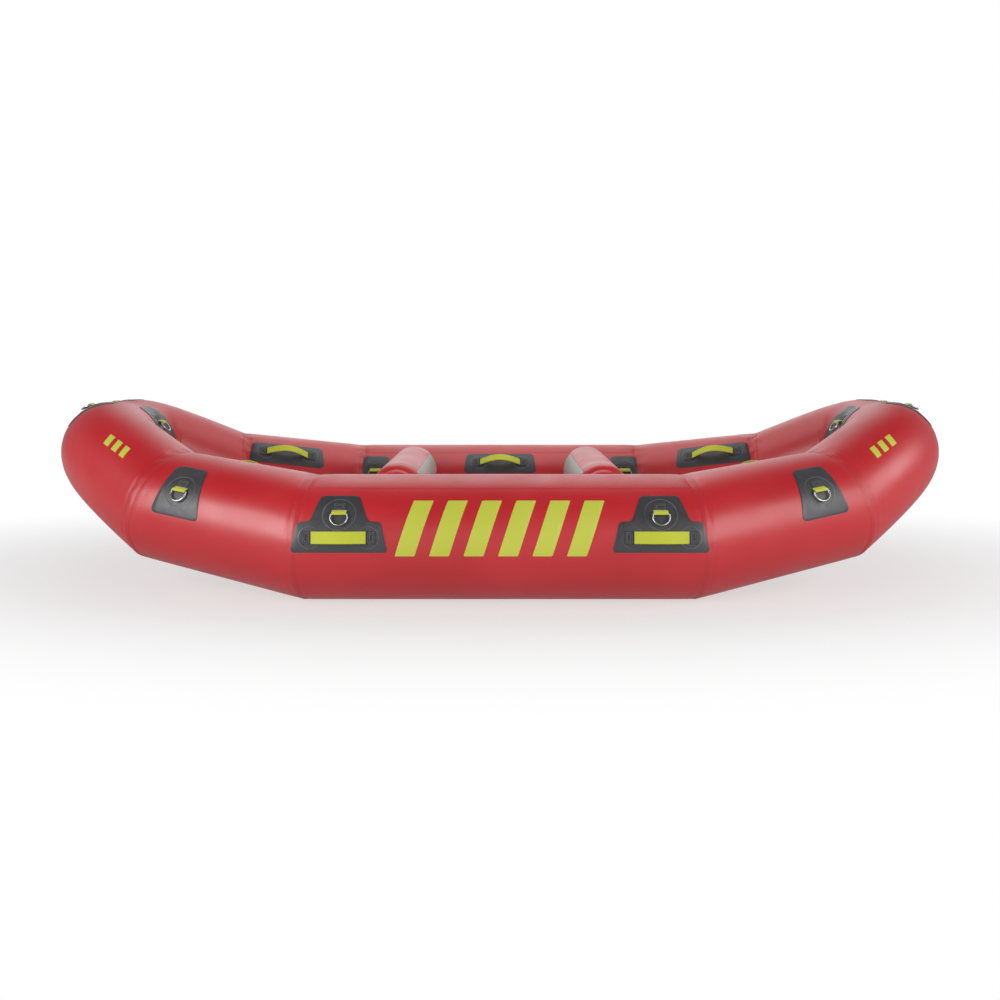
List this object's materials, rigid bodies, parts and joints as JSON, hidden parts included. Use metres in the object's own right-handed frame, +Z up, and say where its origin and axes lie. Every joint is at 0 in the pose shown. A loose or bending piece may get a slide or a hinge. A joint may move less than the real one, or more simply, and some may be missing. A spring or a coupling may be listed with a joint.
{
  "type": "rescue raft",
  "caption": "Inflatable self-bailing river raft with upswept bow and stern, cross thwarts, lashed floor, carry handles and swinging D-rings on sewn patches.",
  "frame": {"origin": "on the ground under the middle of the raft", "axes": "+X to the bow, +Y to port, +Z up"},
  "size_m": [3.953, 1.9404, 0.7799],
  "materials": {
    "red_fabric": "coated fabric, soft sheen",
    "grey_fabric": "coated fabric, soft sheen",
    "charcoal_patch": "moulded synthetic rubber, satin",
    "stainless_ring": "polished stainless wire",
    "black_valve": "moulded plastic",
    "yellow_webbing": "woven webbing and hi-vis print",
    "black_webbing": "woven webbing"
  },
  "bodies": {
    "raft": {"end_patch_bow_port": "charcoal_patch", "end_patch_bow_starboard": "charcoal_patch", "end_patch_stern_port": "charcoal_patch", "end_patch_stern_starboard": "charcoal_patch", "floor": "grey_fabric", "grip_patch_bow_port": "charcoal_patch", "grip_patch_bow_starboard": "charcoal_patch", "grip_patch_mid_port": "charcoal_patch", "grip_patch_mid_starboard": "charcoal_patch", "grip_patch_stern_port": "charcoal_patch", "grip_patch_stern_starboard": "charcoal_patch", "inner_patch_bow_port": "charcoal_patch", "inner_patch_bow_starboard": "charcoal_patch", "inner_patch_stern_port": "charcoal_patch", "inner_patch_stern_starboard": "charcoal_patch", "painter_patch_bow": "charcoal_patch", "painter_patch_stern": "charcoal_patch", "quarter_patch_bow_port": "charcoal_patch", "quarter_patch_bow_starboard": "charcoal_patch", "quarter_patch_stern_port": "charcoal_patch", "quarter_patch_stern_starboard": "charcoal_patch", "side_patch_bow_port": "charcoal_patch", "side_patch_bow_starboard": "charcoal_patch", "side_patch_stern_port": "charcoal_patch", "side_patch_stern_starboard": "charcoal_patch", "thwart_aft": "red_fabric", "thwart_fore": "red_fabric", "tube_end_bow": "red_fabric", "tube_end_stern": "red_fabric", "tube_mid_port": "red_fabric", "tube_mid_starboard": "red_fabric", "tube_quarter_bow_port": "red_fabric", "tube_quarter_bow_starboard": "red_fabric", "tube_quarter_stern_port": "red_fabric", "tube_quarter_stern_starboard": "red_fabric", "valve_bow_port": "black_valve", "valve_bow_starboard": "black_valve", "valve_stern_port": "black_valve", "valve_stern_starboard": "black_valve", "valve_thwart_aft": "black_valve", "valve_thwart_fore": "black_valve"},
    "end_ring_bow_port": {"end_ring_bow_port": "stainless_ring"},
    "end_ring_bow_starboard": {"end_ring_bow_starboard": "stainless_ring"},
    "end_ring_stern_port": {"end_ring_stern_port": "stainless_ring"},
    "end_ring_stern_starboard": {"end_ring_stern_starboard": "stainless_ring"},
    "inner_ring_bow_port": {"inner_ring_bow_port": "stainless_ring"},
    "inner_ring_bow_starboard": {"inner_ring_bow_starboard": "stainless_ring"},
    "inner_ring_stern_port": {"inner_ring_stern_port": "stainless_ring"},
    "inner_ring_stern_starboard": {"inner_ring_stern_starboard": "stainless_ring"},
    "painter_ring_bow": {"painter_ring_bow": "stainless_ring"},
    "painter_ring_stern": {"painter_ring_stern": "stainless_ring"},
    "quarter_ring_bow_port": {"quarter_ring_bow_port": "stainless_ring"},
    "quarter_ring_bow_starboard": {"quarter_ring_bow_starboard": "stainless_ring"},
    "quarter_ring_stern_port": {"quarter_ring_stern_port": "stainless_ring"},
    "quarter_ring_stern_starboard": {"quarter_ring_stern_starboard": "stainless_ring"},
    "side_ring_bow_port": {"side_ring_bow_port": "stainless_ring"},
    "side_ring_bow_starboard": {"side_ring_bow_starboard": "stainless_ring"},
    "side_ring_stern_port": {"side_ring_stern_port": "stainless_ring"},
    "side_ring_stern_starboard": {"side_ring_stern_starboard": "stainless_ring"}
  },
  "joints": [
    {"name": "end_ring_bow_port_swing", "type": "hinge", "parent": "raft", "child": "end_ring_bow_port", "pos_m": [1.85668, 0.14745, 0.76679], "axis": [0.1289, -0.9914, 0.0211], "range_deg": [0, 160]},
    {"name": "end_ring_bow_starboard_swing", "type": "hinge", "parent": "raft", "child": "end_ring_bow_starboard", "pos_m": [1.85668, -0.14745, 0.76679], "axis": [-0.1289, -0.9914, -0.0211], "range_deg": [0, 160]},
    {"name": "end_ring_stern_port_swing", "type": "hinge", "parent": "raft", "child": "end_ring_stern_port", "pos_m": [-1.85668, 0.14745, 0.76679], "axis": [0.1289, 0.9914, -0.0211], "range_deg": [0, 160]},
    {"name": "end_ring_stern_starboard_swing", "type": "hinge", "parent": "raft", "child": "end_ring_stern_starboard", "pos_m": [-1.85668, -0.14745, 0.76679], "axis": [-0.1289, 0.9914, 0.0211], "range_deg": [0, 160]},
    {"name": "inner_ring_bow_port_swing", "type": "hinge", "parent": "raft", "child": "inner_ring_bow_port", "pos_m": [0.652, 0.45137, 0.39428], "axis": [-1, 0, 0], "range_deg": [0, 160]},
    {"name": "inner_ring_bow_starboard_swing", "type": "hinge", "parent": "raft", "child": "inner_ring_bow_starboard", "pos_m": [0.652, -0.45137, 0.39428], "axis": [1, 0, 0], "range_deg": [0, 160]},
    {"name": "inner_ring_stern_port_swing", "type": "hinge", "parent": "raft", "child": "inner_ring_stern_port", "pos_m": [-0.652, 0.45137, 0.39428], "axis": [-1, 0, 0], "range_deg": [0, 160]},
    {"name": "inner_ring_stern_starboard_swing", "type": "hinge", "parent": "raft", "child": "inner_ring_stern_starboard", "pos_m": [-0.652, -0.45137, 0.39428], "axis": [1, 0, 0], "range_deg": [0, 160]},
    {"name": "painter_ring_bow_swing", "type": "hinge", "parent": "raft", "child": "painter_ring_bow", "pos_m": [1.58652, 0, 0.67585], "axis": [0, 1, 0], "range_deg": [0, 160]},
    {"name": "painter_ring_stern_swing", "type": "hinge", "parent": "raft", "child": "painter_ring_stern", "pos_m": [-1.58652, 0, 0.67585], "axis": [0, -1, 0], "range_deg": [0, 160]},
    {"name": "quarter_ring_bow_port_swing", "type": "hinge", "parent": "raft", "child": "quarter_ring_bow_port", "pos_m": [1.27504, 0.75116, 0.45695], "axis": [0.9451, -0.2986, 0.1328], "range_deg": [0, 160]},
    {"name": "quarter_ring_bow_starboard_swing", "type": "hinge", "parent": "raft", "child": "quarter_ring_bow_starboard", "pos_m": [1.27504, -0.75116, 0.45695], "axis": [-0.9451, -0.2986, -0.1328], "range_deg": [0, 160]},
    {"name": "quarter_ring_stern_port_swing", "type": "hinge", "parent": "raft", "child": "quarter_ring_stern_port", "pos_m": [-1.27504, 0.75116, 0.45695], "axis": [0.9451, 0.2986, -0.1328], "range_deg": [0, 160]},
    {"name": "quarter_ring_stern_starboard_swing", "type": "hinge", "parent": "raft", "child": "quarter_ring_stern_starboard", "pos_m": [-1.27504, -0.75116, 0.45695], "axis": [-0.9451, 0.2986, 0.1328], "range_deg": [0, 160]},
    {"name": "side_ring_bow_port_swing", "type": "hinge", "parent": "raft", "child": "side_ring_bow_port", "pos_m": [0.617, 0.90627, 0.3866], "axis": [1, 0, 0], "range_deg": [0, 160]},
    {"name": "side_ring_bow_starboard_swing", "type": "hinge", "parent": "raft", "child": "side_ring_bow_starboard", "pos_m": [0.617, -0.90627, 0.3866], "axis": [-1, 0, 0], "range_deg": [0, 160]},
    {"name": "side_ring_stern_port_swing", "type": "hinge", "parent": "raft", "child": "side_ring_stern_port", "pos_m": [-0.617, 0.90627, 0.3866], "axis": [1, 0, 0], "range_deg": [0, 160]},
    {"name": "side_ring_stern_starboard_swing", "type": "hinge", "parent": "raft", "child": "side_ring_stern_starboard", "pos_m": [-0.617, -0.90627, 0.3866], "axis": [-1, 0, 0], "range_deg": [0, 160]}
  ]
}
